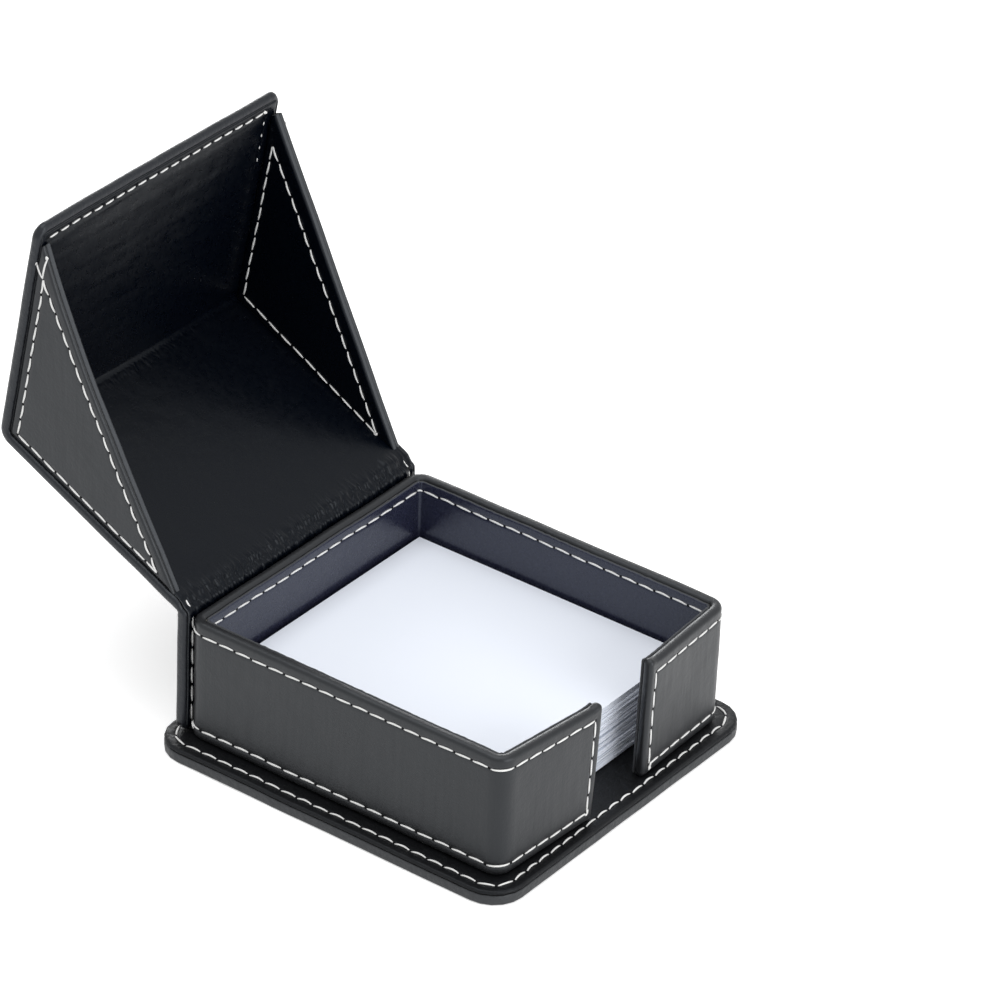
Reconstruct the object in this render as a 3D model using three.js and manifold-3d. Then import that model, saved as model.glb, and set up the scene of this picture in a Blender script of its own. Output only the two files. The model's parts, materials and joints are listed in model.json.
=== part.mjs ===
// A leather note holder shaped like a small house: an open tray of stitched leather over board,
// a stack of loose square note sheets, and a roof that swings back on a leather hinge.
// Millimetres, +Z up, front towards -Y, origin at the centre of the underside of the base.

import * as THREE from 'three';
import { mergeVertices } from 'three/addons/utils/BufferGeometryUtils.js';
import Module from 'manifold-3d';

const wasm = await Module();
wasm.setup();

// Note sheets and the room around them
const sheetWidth = 90;
const stackHeight = 19.2;
const sheetClearance = 1;
const fingerRoom = 6.2;
const bundleCount = 12;
const bundleShift = 0.45;

// Leather over board: the same layers make every wall
const leather = 0.8;
const lining = 0.6;
const glueGap = 0.3;
const overrun = 1;

// Base
const baseBoard = 2;
const baseTopSheet = 1.1;
const baseSideOverhang = 6.8;
const baseFrontOverhang = 5.4;
const baseRearOverhang = 3.1;
const baseCornerRadius = 10;
const baseEdgeRound = 1;

// Tray
const trayBoard = 2;
const trayHeight = 36.8;
const trayCornerRadius = 5;
const trayInnerCornerRadius = 1;
const rimRound = 1.2;
const flapEndRadius = 1.4;
const cutoutWidth = 23.5;
const leftFlapSpread = 2.8;
const rightFlapSpread = 1.4;

// Back panel behind the tray, which carries the hinge
const backBoard = 1.6;
const backTopDrop = 3.4;
const backEdgeRound = 0.8;
const backCornerRadius = 1.5;

// Hinge
const openAngle = 114.5;
const hingeInset = 2;
const hingeBare = 5;
const hingeLeather = 2.6;

// Roof, sized in its closed position above the tray rim
const roofBoard = 1.3;
const vergeOverhang = 0.1;
const eaveOverhang = 4.4;
const ridgeRise = 45.1;
const eaveLift = 5.6;
const ridgeRadius = 5;
const roofEdgeRound = 1.1;
const eaveEndRadius = 1.3;
const roofTurnIn = 1.6;
const ridgeBare = 3;

// Gables, which close the two ends of the roof
const gableBoard = 0.8;
const gableInset = 1.3;
const gableClearance = 0.4;
const gableFootTilt = 1.6;
const gableFrontInset = 1.6;
const gableEdgeRound = 0.7;
const gableLiningInset = 0.3;

// How finely round stretches are cut
const arcSteps = 6;
const edgeSteps = 3;
const hingeSteps = 10;

// Sizes that follow from the ones above
const layers = (board) => leather + glueGap + board + glueGap + lining;
const wall = layers(trayBoard);
const backThickness = layers(backBoard);
const roofThickness = layers(roofBoard);
const gableThickness = layers(gableBoard);
const baseHeight = leather + glueGap + baseBoard + glueGap + baseTopSheet;

const trayWidth = sheetWidth + 2 * (sheetClearance + wall);
const trayDepth = sheetWidth + sheetClearance + fingerRoom + 2 * wall;
const roofWidth = trayWidth + 2 * vergeOverhang;
const baseWidth = trayWidth + 2 * baseSideOverhang;
const baseDepth = baseFrontOverhang + trayDepth + glueGap + backThickness + baseRearOverhang;

const trayFront = baseFrontOverhang - baseDepth / 2;
const trayRear = trayFront + trayDepth;
const trayMiddle = (trayFront + trayRear) / 2;
const trayFoot = baseHeight + glueGap;
const rimTop = trayFoot + trayHeight;

const backFront = trayRear + glueGap;
const backRear = backFront + backThickness;
const backHeight = trayHeight - backTopDrop;
const backTop = trayFoot + backHeight;

const hingeY = backRear - hingeInset;
const hingeZ = rimTop;

// Leather black, lining navy, board grey and paper white
const leatherMaterial = new THREE.MeshStandardMaterial({ color: 0x2b2c2e, roughness: 0.45, metalness: 0 });
const liningMaterial = new THREE.MeshStandardMaterial({ color: 0x1d1f2a, roughness: 0.3, metalness: 0 });
const boardMaterial = new THREE.MeshStandardMaterial({ color: 0x8c8577, roughness: 0.95, metalness: 0 });
const paperMaterial = new THREE.MeshStandardMaterial({ color: 0xf2f4f8, roughness: 0.9, metalness: 0 });

// Closed mesh to solid and back
function toSolid(geometry) {
  geometry.deleteAttribute('normal');
  geometry.deleteAttribute('uv');
  const merged = mergeVertices(geometry);
  return new wasm.Manifold(new wasm.Mesh({
    numProp: 3,
    vertProperties: new Float32Array(merged.attributes.position.array),
    triVerts: new Uint32Array(merged.index.array),
  }));
}

function toGeometry(solid) {
  const mesh = solid.getMesh();
  const geometry = new THREE.BufferGeometry();
  geometry.setAttribute('position', new THREE.BufferAttribute(new Float32Array(mesh.vertProperties), 3));
  geometry.setIndex(new THREE.BufferAttribute(new Uint32Array(mesh.triVerts), 1));
  geometry.computeVertexNormals();
  return geometry;
}

// Points of an arc of the given radius that replaces the corner between two straight edges
function roundCorner(before, corner, after, radius) {
  if (radius <= 0) {
    return [corner.clone()];
  }
  const towardsBefore = before.clone().sub(corner).normalize();
  const towardsAfter = after.clone().sub(corner).normalize();
  const halfAngle = Math.acos(THREE.MathUtils.clamp(towardsBefore.dot(towardsAfter), -1, 1)) / 2;
  const bisector = towardsBefore.clone().add(towardsAfter).normalize();
  const centre = corner.clone().addScaledVector(bisector, radius / Math.sin(halfAngle));
  const start = corner.clone().addScaledVector(towardsBefore, radius / Math.tan(halfAngle)).sub(centre);
  const turn = Math.sign(towardsAfter.cross(towardsBefore)) * (Math.PI - 2 * halfAngle);
  const points = [];
  for (let step = 0; step <= arcSteps; step += 1) {
    const spoke = start.clone().rotateAround(new THREE.Vector2(), (turn * step) / arcSteps);
    points.push(centre.clone().add(spoke));
  }
  return points;
}

// Closed outline through corners, each written as [x, y, radius]
function outline(corners) {
  const points = corners.map(([x, y]) => new THREE.Vector2(x, y));
  const count = points.length;
  return corners.flatMap(([, , radius], index) => roundCorner(
    points[(index + count - 1) % count],
    points[index],
    points[(index + 1) % count],
    radius ?? 0,
  ));
}

// Rectangle between two opposite corners, with one radius
function rectangle(xLow, yLow, xHigh, yHigh, radius = 0) {
  return outline([
    [xLow, yLow, radius],
    [xHigh, yLow, radius],
    [xHigh, yHigh, radius],
    [xLow, yHigh, radius],
  ]);
}

// Outline pushed up along Z from one height to another, with all its edges rounded over
function extrusion(points, low, high, edgeRound) {
  const geometry = new THREE.ExtrudeGeometry(new THREE.Shape(points), {
    depth: high - low - 2 * edgeRound,
    bevelEnabled: edgeRound > 0,
    bevelThickness: edgeRound,
    bevelSize: edgeRound,
    bevelOffset: -edgeRound,
    bevelSegments: edgeSteps,
  });
  return geometry.translate(0, 0, low + edgeRound);
}

// Upright slab of an outline in the XY plane
function slab(points, zLow, zHigh, edgeRound = 0) {
  return toSolid(extrusion(points, zLow, zHigh, edgeRound));
}

// Sideways slab of an outline in the YZ plane
function sideSlab(points, xLow, xHigh, edgeRound = 0) {
  const sideways = new THREE.Matrix4().makeBasis(
    new THREE.Vector3(0, 1, 0),
    new THREE.Vector3(0, 0, 1),
    new THREE.Vector3(1, 0, 0),
  );
  return toSolid(extrusion(points, xLow, xHigh, edgeRound).applyMatrix4(sideways));
}

function block(xLow, yLow, zLow, xHigh, yHigh, zHigh) {
  return slab(rectangle(xLow, yLow, xHigh, yHigh), zLow, zHigh);
}

function piece(parent, name, solid, material) {
  const mesh = new THREE.Mesh(toGeometry(solid), material);
  mesh.name = name;
  parent.add(mesh);
}

// Base: a cover turned up round a board from below, and a top sheet stitched to it
function baseOutline(inset) {
  return rectangle(
    inset - baseWidth / 2,
    inset - baseDepth / 2,
    baseWidth / 2 - inset,
    baseDepth / 2 - inset,
    baseCornerRadius - inset,
  );
}

function addBase(parent) {
  const whole = slab(baseOutline(0), 0, baseHeight, baseEdgeRound);
  const boardFoot = leather + glueGap;
  const boardTop = boardFoot + baseBoard;
  const sheetFoot = boardTop + glueGap;
  const aroundX = baseWidth / 2 + overrun;
  const aroundY = baseDepth / 2 + overrun;
  const aboveCover = block(-aroundX, -aroundY, boardTop, aroundX, aroundY, baseHeight + overrun);
  const belowSheet = block(-aroundX, -aroundY, -overrun, aroundX, aroundY, sheetFoot);
  const boardRoom = slab(baseOutline(leather), leather, baseHeight + overrun);
  piece(parent, 'base_outer_cover', whole.subtract(aboveCover).subtract(boardRoom), leatherMaterial);
  piece(parent, 'base_board', slab(baseOutline(boardFoot), boardFoot, boardTop), boardMaterial);
  piece(parent, 'base_top_sheet', whole.subtract(belowSheet), liningMaterial);
}

// Tray wall in plan, as a strip between two depths into the wall, open at the front cutout
function wallStrip(outerDepth, innerDepth, endInset, endRadius) {
  const side = trayWidth / 2;
  const gap = cutoutWidth / 2 + endInset;
  const outerRadius = trayCornerRadius - outerDepth;
  const innerRadius = Math.max(trayCornerRadius - innerDepth, trayInnerCornerRadius);
  return outline([
    [gap, trayFront + outerDepth, endRadius],
    [side - outerDepth, trayFront + outerDepth, outerRadius],
    [side - outerDepth, trayRear - outerDepth, outerRadius],
    [outerDepth - side, trayRear - outerDepth, outerRadius],
    [outerDepth - side, trayFront + outerDepth, outerRadius],
    [-gap, trayFront + outerDepth, endRadius],
    [-gap, trayFront + innerDepth, endRadius],
    [innerDepth - side, trayFront + innerDepth, innerRadius],
    [innerDepth - side, trayRear - innerDepth, innerRadius],
    [side - innerDepth, trayRear - innerDepth, innerRadius],
    [side - innerDepth, trayFront + innerDepth, innerRadius],
    [gap, trayFront + innerDepth, endRadius],
  ]);
}

// The two front flaps stand slightly outwards, each swung from its corner of the tray
function spreadFlaps(solid) {
  const root = trayWidth / 2 - trayCornerRadius;
  const reach = root - cutoutWidth / 2;
  return solid.warp((point) => {
    const [x, y] = point;
    if (y > trayFront + trayCornerRadius || Math.abs(x) >= root) {
      return;
    }
    const spread = x < 0 ? leftFlapSpread : rightFlapSpread;
    point[1] = y - (spread * (root - Math.abs(x))) / reach;
  });
}

function addTray(parent) {
  const boardOuter = leather + glueGap;
  const boardInner = boardOuter + trayBoard;
  const liningOuter = boardInner + glueGap;
  const shell = slab(wallStrip(0, boardInner, 0, flapEndRadius), trayFoot, rimTop, rimRound);
  const boardRoom = slab(
    wallStrip(leather, boardInner + overrun, leather, 0),
    trayFoot + leather,
    rimTop - leather,
  );
  piece(parent, 'tray_outer_cover', spreadFlaps(shell.subtract(boardRoom)), leatherMaterial);
  piece(
    parent,
    'tray_lining',
    spreadFlaps(slab(wallStrip(liningOuter, wall, glueGap, 0), trayFoot, rimTop - glueGap)),
    liningMaterial,
  );

  const boards = slab(
    wallStrip(boardOuter, boardInner, boardOuter, 0),
    trayFoot + boardOuter,
    rimTop - boardOuter,
  );
  const farSide = trayWidth / 2 + overrun;
  const sideSplit = trayWidth / 2 - trayCornerRadius - glueGap;
  const nearSide = sideSplit - glueGap;
  const frontSplit = trayFront + trayCornerRadius;
  const rearSplit = trayRear - trayCornerRadius;
  const beyondFront = trayFront - overrun;
  const beyondRear = trayRear + overrun;
  const cut = (xLow, yLow, xHigh, yHigh) => boards.intersect(
    block(xLow, yLow, trayFoot, xHigh, yHigh, rimTop),
  );
  const cuts = {
    tray_left_board: cut(-farSide, beyondFront, -sideSplit, beyondRear),
    tray_right_board: cut(sideSplit, beyondFront, farSide, beyondRear),
    tray_rear_board: cut(-nearSide, rearSplit, nearSide, beyondRear),
    tray_front_left_board: cut(-nearSide, beyondFront, 0, frontSplit),
    tray_front_right_board: cut(0, beyondFront, nearSide, frontSplit),
  };
  for (const [name, board] of Object.entries(cuts)) {
    piece(parent, name, spreadFlaps(board), boardMaterial);
  }
}

// Back panel: a cover turned in round all four edges of a board, with a lining towards the tray
function addBackPanel(parent) {
  const side = roofWidth / 2;
  const turned = leather + glueGap;
  const boardFront = backFront + lining + glueGap;
  const boardRear = backRear - turned;
  const whole = slab(
    rectangle(-side, backFront, side, backRear, backCornerRadius),
    trayFoot,
    backTop,
    backEdgeRound,
  );
  const boardRoom = block(
    leather - side,
    backFront - overrun,
    trayFoot + leather,
    side - leather,
    backRear - leather,
    backTop - leather,
  );
  piece(parent, 'back_panel_cover', whole.subtract(boardRoom), leatherMaterial);
  piece(
    parent,
    'back_panel_board',
    block(turned - side, boardFront, trayFoot + turned, side - turned, boardRear, backTop - turned),
    boardMaterial,
  );
  piece(
    parent,
    'back_panel_lining',
    block(turned - side, backFront, trayFoot + turned, side - turned, backFront + lining, backTop - turned),
    liningMaterial,
  );
}

// Loose sheets: bundles that lie slightly out of line, each resting on the one below
function addSheets(parent) {
  const rear = trayRear - wall - sheetClearance;
  const foot = trayFoot;
  const bundleHeight = stackHeight / bundleCount;
  const sink = bundleHeight / bundleCount;
  let stack = null;
  for (let index = 0; index < bundleCount; index += 1) {
    const shiftX = bundleShift * Math.sin(2 * index);
    const shiftY = bundleShift * Math.cos(3 * index);
    const bundle = block(
      shiftX - sheetWidth / 2,
      rear - sheetWidth + shiftY,
      foot + index * bundleHeight - (index > 0 ? sink : 0),
      shiftX + sheetWidth / 2,
      rear + shiftY,
      foot + (index + 1) * bundleHeight,
    );
    stack = stack ? stack.add(bundle) : bundle;
  }
  piece(parent, 'note_sheets', stack, paperMaterial);
}

// Roof profile in the YZ plane, closed, measured from the hinge axis
const ridge = new THREE.Vector2(trayMiddle - hingeY, ridgeRise);
const eave = new THREE.Vector2(trayFront - eaveOverhang - hingeY, eaveLift);
const rearSlope = ridge.clone().normalize();
const frontSlope = eave.clone().sub(ridge).normalize();
const rearInward = new THREE.Vector2(-rearSlope.y, rearSlope.x);
const frontInward = new THREE.Vector2(-frontSlope.y, frontSlope.x);

// Point on the rear slope, at a distance from the axis and a depth below the outer face
function onRear(distance, depth) {
  return rearSlope.clone().multiplyScalar(distance).addScaledVector(rearInward, depth);
}

// Point on the front slope, at a distance short of the eave and a depth below the outer face
function onFront(short, depth) {
  return eave.clone().addScaledVector(frontSlope, -short).addScaledVector(frontInward, depth);
}

// Where two lines cross, each given by a point and a direction
function crossing(pointA, alongA, pointB, alongB) {
  const share = pointB.clone().sub(pointA).cross(alongB) / alongA.cross(alongB);
  return pointA.clone().addScaledVector(alongA, share);
}

function ridgeAt(depth) {
  return crossing(onRear(0, depth), rearSlope, onFront(0, depth), frontSlope);
}

// Roof section between two depths, cut short of the hinge end and of the eave end
function roofBand(outerDepth, innerDepth, short, eaveRadius) {
  const start = hingeBare + short;
  const outerRidge = ridgeAt(outerDepth);
  const innerRidge = ridgeAt(innerDepth);
  const at = (point, radius) => [point.x, point.y, radius];
  return outline([
    at(onRear(start, outerDepth), 0),
    at(outerRidge, ridgeRadius - outerDepth),
    at(onFront(short, outerDepth), eaveRadius),
    at(onFront(short, innerDepth), eaveRadius),
    at(innerRidge, Math.max(ridgeRadius - innerDepth, glueGap)),
    at(onRear(start, innerDepth), 0),
  ]);
}

// Board of one slope, between the leather and the lining
function slopeBoard(ends, xHalf) {
  return sideSlab(outline(ends.map((point) => [point.x, point.y])), -xHalf, xHalf);
}

function addRoof(parent) {
  const side = roofWidth / 2;
  const turned = leather + glueGap;
  const boardInner = turned + roofBoard;
  const liningOuter = boardInner + glueGap;
  const whole = sideSlab(roofBand(0, roofThickness, 0, eaveEndRadius), -side, side, roofEdgeRound);
  const boardRoom = sideSlab(roofBand(leather, liningOuter, leather, 0), leather - side, side - leather);
  const liningRoom = sideSlab(
    roofBand(boardInner, roofThickness + overrun, roofTurnIn, 0),
    roofTurnIn - side,
    side - roofTurnIn,
  );
  piece(parent, 'roof_outer_cover', whole.subtract(boardRoom).subtract(liningRoom), leatherMaterial);

  const liningShort = roofTurnIn + glueGap;
  piece(
    parent,
    'roof_lining',
    sideSlab(roofBand(liningOuter, roofThickness, liningShort, 0), liningShort - side, side - liningShort),
    liningMaterial,
  );

  const rearEnd = ridge.length() - ridgeRadius - ridgeBare;
  const frontEnd = eave.distanceTo(ridge) - ridgeRadius - ridgeBare;
  const rearStart = hingeBare + turned;
  piece(parent, 'roof_rear_board', slopeBoard([
    onRear(rearStart, turned),
    onRear(rearEnd, turned),
    onRear(rearEnd, boardInner),
    onRear(rearStart, boardInner),
  ], side - turned), boardMaterial);
  piece(parent, 'roof_front_board', slopeBoard([
    onFront(turned, turned),
    onFront(turned, boardInner),
    onFront(frontEnd, boardInner),
    onFront(frontEnd, turned),
  ], side - turned), boardMaterial);
}

// Gable outline in the YZ plane, shrunk by an inset on every side. Its foot rises a little to the front,
// where a short upright edge cuts off the tip in which the foot and the front slope would meet
function gableOutline(inset) {
  const top = roofThickness + glueGap + inset;
  const foot = new THREE.Vector2(0, gableClearance + inset);
  const footLine = new THREE.Vector2(1, 0).rotateAround(
    new THREE.Vector2(),
    -THREE.MathUtils.degToRad(gableFootTilt),
  );
  const upright = new THREE.Vector2(0, 1);
  const front = new THREE.Vector2(trayFront + gableFrontInset + inset - hingeY, 0);
  const tip = crossing(foot, footLine, onFront(0, top), frontSlope);
  const heel = crossing(foot, footLine, onRear(0, top), rearSlope);
  if (tip.x >= front.x) {
    return [tip, heel, ridgeAt(top)];
  }
  return [
    crossing(foot, footLine, front, upright),
    heel,
    ridgeAt(top),
    crossing(front, upright, onFront(0, top), frontSlope),
  ];
}

// Gable: a cover turned in round a triangular board, with a lining on the inner face
function addGable(parent, name, hand) {
  const turned = leather + glueGap;
  const coverDepth = turned + gableBoard;
  const outerFace = roofWidth / 2 - gableInset;
  const layer = (inset, near, far, edgeRound) => {
    const ends = [hand * (outerFace - near), hand * (outerFace - far)];
    return sideSlab(gableOutline(inset), Math.min(...ends), Math.max(...ends), edgeRound);
  };
  const boardRoom = layer(leather, leather, coverDepth + overrun, 0);
  piece(parent, `${name}_cover`, layer(0, 0, coverDepth, gableEdgeRound).subtract(boardRoom), leatherMaterial);
  piece(parent, `${name}_board`, layer(turned, turned, coverDepth, 0), boardMaterial);
  piece(
    parent,
    `${name}_lining`,
    layer(gableLiningInset, gableThickness - lining, gableThickness, 0),
    liningMaterial,
  );
}

// Leather hinge at rest: from the top of the back panel, round the axis, to the rear edge of the roof
function addHinge(parent) {
  const axis = new THREE.Vector2(hingeY, hingeZ);
  const open = -THREE.MathUtils.degToRad(openAngle);
  const opened = (point) => point.rotateAround(new THREE.Vector2(), open).add(axis);
  const middle = (backFront + backRear) / 2;
  const start = new THREE.Vector2(middle, backTop + glueGap);
  const end = opened(onRear(hingeBare - glueGap, roofThickness / 2));
  const slope = rearSlope.clone().rotateAround(new THREE.Vector2(), open);
  const bend = crossing(start, new THREE.Vector2(0, 1), end, slope);
  const centreLine = new THREE.QuadraticBezierCurve(start, bend, end);
  const front = [];
  const rear = [];
  for (let step = 0; step <= hingeSteps; step += 1) {
    const share = step / hingeSteps;
    const point = centreLine.getPoint(share);
    const along = centreLine.getTangent(share);
    const across = new THREE.Vector2(-along.y, along.x).multiplyScalar(hingeLeather / 2);
    front.push(point.clone().add(across));
    rear.unshift(point.clone().sub(across));
  }
  const side = roofWidth / 2 - glueGap;
  piece(parent, 'hinge_strip', sideSlab([...rear, ...front], -side, side), leatherMaterial);
}

const holder = new THREE.Group();
addBase(holder);
addTray(holder);
addBackPanel(holder);
addSheets(holder);
addHinge(holder);

// The roof is built closed about the hinge axis and then swung back
const roof = new THREE.Group();
roof.position.set(0, hingeY, hingeZ);
roof.rotation.x = -THREE.MathUtils.degToRad(openAngle);
addRoof(roof);
addGable(roof, 'left_gable', -1);
addGable(roof, 'right_gable', 1);
holder.add(roof);

export default holder;
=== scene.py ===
# The looks of a leather note holder, built round its imported solids: grained leather turned over board,
# a dark lining, white stitching, loose sheets of paper, and hinge leather in the lid's open rest place.
# Sizes are in millimetres, in the frame of the solids, until a mesh or a light is made in metres.

import json
import math
import random

import bmesh
import bpy
from mathutils import Matrix, Vector, noise


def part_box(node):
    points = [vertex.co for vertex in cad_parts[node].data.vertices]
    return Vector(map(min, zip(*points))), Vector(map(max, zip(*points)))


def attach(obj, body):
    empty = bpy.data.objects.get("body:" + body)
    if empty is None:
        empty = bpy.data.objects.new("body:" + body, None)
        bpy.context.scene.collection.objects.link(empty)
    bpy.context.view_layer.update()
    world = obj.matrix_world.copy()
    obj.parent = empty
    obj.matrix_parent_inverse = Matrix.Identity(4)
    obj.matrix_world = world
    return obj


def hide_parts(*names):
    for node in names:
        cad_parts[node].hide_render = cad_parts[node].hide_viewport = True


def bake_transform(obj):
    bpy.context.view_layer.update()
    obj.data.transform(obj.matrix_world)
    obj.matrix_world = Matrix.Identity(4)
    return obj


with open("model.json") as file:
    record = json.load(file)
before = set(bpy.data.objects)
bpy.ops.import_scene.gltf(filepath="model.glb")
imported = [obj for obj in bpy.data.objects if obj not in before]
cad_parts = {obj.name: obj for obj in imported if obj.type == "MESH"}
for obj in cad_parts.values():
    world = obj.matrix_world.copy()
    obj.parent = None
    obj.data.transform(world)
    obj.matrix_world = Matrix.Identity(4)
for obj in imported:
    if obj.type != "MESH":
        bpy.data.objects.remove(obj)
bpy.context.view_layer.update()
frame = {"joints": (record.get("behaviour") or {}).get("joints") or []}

MM = 0.001
WELD = 0.002
SQUARE = ((-1, -1), (1, -1), (1, 1), (-1, 1))

# Layers of a wall, from its outer face inwards
LEATHER = 0.8
GLUE = 0.3
LINING = 0.6
TURNED = LEATHER + GLUE

# Fineness of the meshes: steps in a quarter turn, and steps of the grids, finer near rows and bends
ARC_STEPS = 7
RIM_ARC_STEPS = 4
SEAM_ARC_STEPS = 3
CORNER_STEPS = 5
GRID_STEP = 1.2
BASE_RING_STEP = 2
FINE_STEP = 0.3
FINE_REACH = 1.2
PUCKER_STEP = 0.25
CREASE_STEP = 0.25
BEND_REACH = 2.5

# Turned edges of covers
EDGE_RADIUS = 1.5
INNER_EDGE_RADIUS = 1
ROLL_SINK = 0.15
LIP_WIDTH = 2.4
LIP_SINK = 0.9

# Rough cut edge of a sheet, from hidden to shown face: how far in, where in its thickness, and its rows
CUT_INSETS = (0.1, -0.05, -0.08, -0.02, 0.15)
CUT_SHARES = (1, 0.75, 0.45, 0.18, 0)
CUT_ROWS = 4

# Base, with a seam between its two leathers
BASE_CORNER = 10
BASE_EDGE_RADIUS = 0.8
BASE_SEAM_RADIUS = 0.35
BASE_SEAM_DEPTH = 1.4

# Tray. Its two flaps stand out more at the top than at the foot, and their tips rise
TRAY_CORNER = 5
TRAY_EDGE_RADIUS = 1.35
TRAY_INNER_EDGE_RADIUS = 1.3
TRAY_SHEET_CORNER = 1.6
TRAY_TURN_IN = 3
LEFT_SPREAD = (1.9, 3.7)
RIGHT_SPREAD = (0.9, 2.0)
FLAP_TIP_RISE = 0.7
FLAP_TIP_REACH = 4
FLAP_TIP_POWER = 4

# Tray lining. It puckers in the four corners, and its upper edge is ragged
LINING_DROP = 0.8
TRAY_LINING_LAP = 1.2
TRAY_LINING_SINK = 0.25
PUCKER_HEIGHT = 0.35
PUCKER_WIDTH = 0.7
PUCKER_REACH = 5
RAGGED = 0.14
RAGGED_RATE = 1.1

# Roof in its closed position, from the hinge axis
RIDGE_RISE = 45.1
EAVE_LIFT = 5.6
EAVE_OVERHANG = 4.4
RIDGE_RADIUS = 5
ROOF_THICKNESS = 3.3
ROOF_SHEET_CORNER = 3.2
LID_SHIFT = -0.4
EAVE_NARROWING = 0.45
EAVE_STRETCH = 1.0
EAVE_BULGE = 0.8

# Leather at the hinge, dented outside
BEND_RADIUS = 0.8
BEND_INNER_RADIUS = 1.6
HINGE_LEATHER = 1.9
HINGE_FADE = 3
HINGE_DENT = 0.35
HINGE_DENT_REACH = 3
HINGE_DENT_LENGTH = 9
HINGE_DENT_WIDTH = 1.4

# Lining of the lid, with a lump by the hinge, streaks on the front slope, and creases: (reach, height)
LINING_INSET = 1.5
ROOF_LINING_LAP = 1
ROOF_LINING_SINK = 0.3
HINGE_LUMP = 0.7
LUMP_WIDTH = 2.8
LUMP_INSET = 7.5
LUMP_RISE = 3
STREAK = 0.1
STREAK_LENGTH = 28
STREAK_WIDTH = 1.9
STREAK_FADE = 9
HINGE_CREASE = (5, 0.42)
RIDGE_CREASE = (3, 0.08)
CREASE_PITCH = 1.2
CREASE_LENGTH = 3.5
CREASE_WANDER = 1.2
CREASE_SHARPNESS = 3
CREASE_REACH_SHARE = 0.7

# Gables in the closed position, the left one as -1. Its foot has warped upwards, most towards the front
GABLE_FRONT_INSET = 1.6
GABLE_SEAM = 0.1
GABLE_PROUD = 0.5
GABLE_HEEL = 4.7
GABLE_KNEE = 7.5
GABLE_FEET = {-1: (0.4, 5.0), 1: (0.8, 3.75)}
GABLE_WARP = {-1: 2.1, 1: 0}
WARP_REACH = 6
WARP_FRONT_SHARE = 0.5
GABLE_CORNER_RADIUS = 0.3
GABLE_EDGE_RADIUS = 0.9
GABLE_TURN_IN = 2
GABLE_GROOVE = 0.5

# Rings of a gable's faces, and the cut edge of its lining as a share of the strip that shows
GABLE_RINGS = (1.2, 1.6, 2, 2.4, 2.8, 3.2, 3.6, 4.1, 4.7, 5.3, 6, 7, 9, 11.5, 14, 16)
GABLE_EDGE_STRIP = 1.7
GABLE_CUT_INSETS = (1, 0.15, 0.04, 0, 0.03, 0.14, 0.45)
GABLE_CUT_SHARES = (1, 1, 0.85, 0.6, 0.3, 0.12, 0)

# Stitching: how far in from an edge each row runs
BASE_STITCH = 3.1
RIM_STITCH = 3.7
FOOT_STITCH = 3.1
FLAP_STITCH = 2.8
VERGE_STITCH = 2.2
EAVE_STITCH = 3.5
PANEL_STITCH = 2.5

# Rows inside the lid, from the lines of the verge and eave rows, and their rise above the hinge bend
EAVE_ROW_LEFT = 1.5
EAVE_ROW_RIGHT = 4.2
FLANGE_ROW_INSET = 3.6
FLANGE_ROW_START = 18
FLANGE_ROW_END = 2
HINGE_ROW_INSET = 1
HINGE_ROW_RISE = 2.2

# Rows of the closed gables, from the hinge axis: tip, peak and end. Two more stitches leave the outer tip
GABLE_ROWS = {
    "outer": ((-96.7, 8.6), (-54.0, 38.3), (-12.1, 3.7)),
    "inner": ((-97.3, 8.5), (-55.1, 37.9), (-11.4, 5.0)),
}
GABLE_ARMS = ((-101.2, 9.2), (-102.3, 4.3))

# Stitches and their thread
STITCH_PITCH = 5.5
BASE_PITCH = 5.3
GABLE_PITCH = 5.1
EAVE_PITCH = 4.5
THREAD_SHARE = 0.84
EAVE_THREAD_SHARE = 0.68
FLANGE_THREAD_SHARE = 0.4
THREAD_HALF_WIDTH = 0.3
THREAD_HALF_HEIGHT = 0.24
THREAD_END_SHARE = 0.62
THREAD_RISE = 0.22
THREAD_BOW = 0.24
BOW_SHARES = (0.5, 1.4)
THREAD_SLANT = 0.1
THREAD_SLIP = 0.07
THREAD_SIDES = 8
THREAD_SECTIONS = 9
FLANGE_SINK = 0.336
KNOT_REACH = 0.9
LONG_KNOT_REACH = 1.35
KNOT_DROP = 0.6
KNOT_LOOPS = 3
KNOT_CURL = 2
KNOT_SHARES = (0.6, 1.3)
HOLE_RADIUS = 0.5
HOLE_HEIGHT = 0.12
HOLE_RINGS = 3
GROOVE_DEPTH = 0.2
GROOVE_WIDTH = 0.6

# Hand-made unevenness
WOBBLE = 0.16
WOBBLE_LENGTH = 16
WOBBLE_SEED = 1
WAVE = 0.05
WAVE_LENGTH = 5

# Sheets of paper, in bundles that are each a little out of line
SHEET_COUNT = 100
BUNDLE_SHEETS = (3, 7)
BUNDLE_SHIFT = 0.45
BUNDLE_TURN = 0.35
SHEET_GAP_SHARE = 0.12
SHEET_SHIFT = 0.1
SHEET_TURN = 0.05
SHEET_MARGIN = 0.85


def low(node):
    return Vector(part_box(node)[0]) / MM


def high(node):
    return Vector(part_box(node)[1]) / MM


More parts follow.
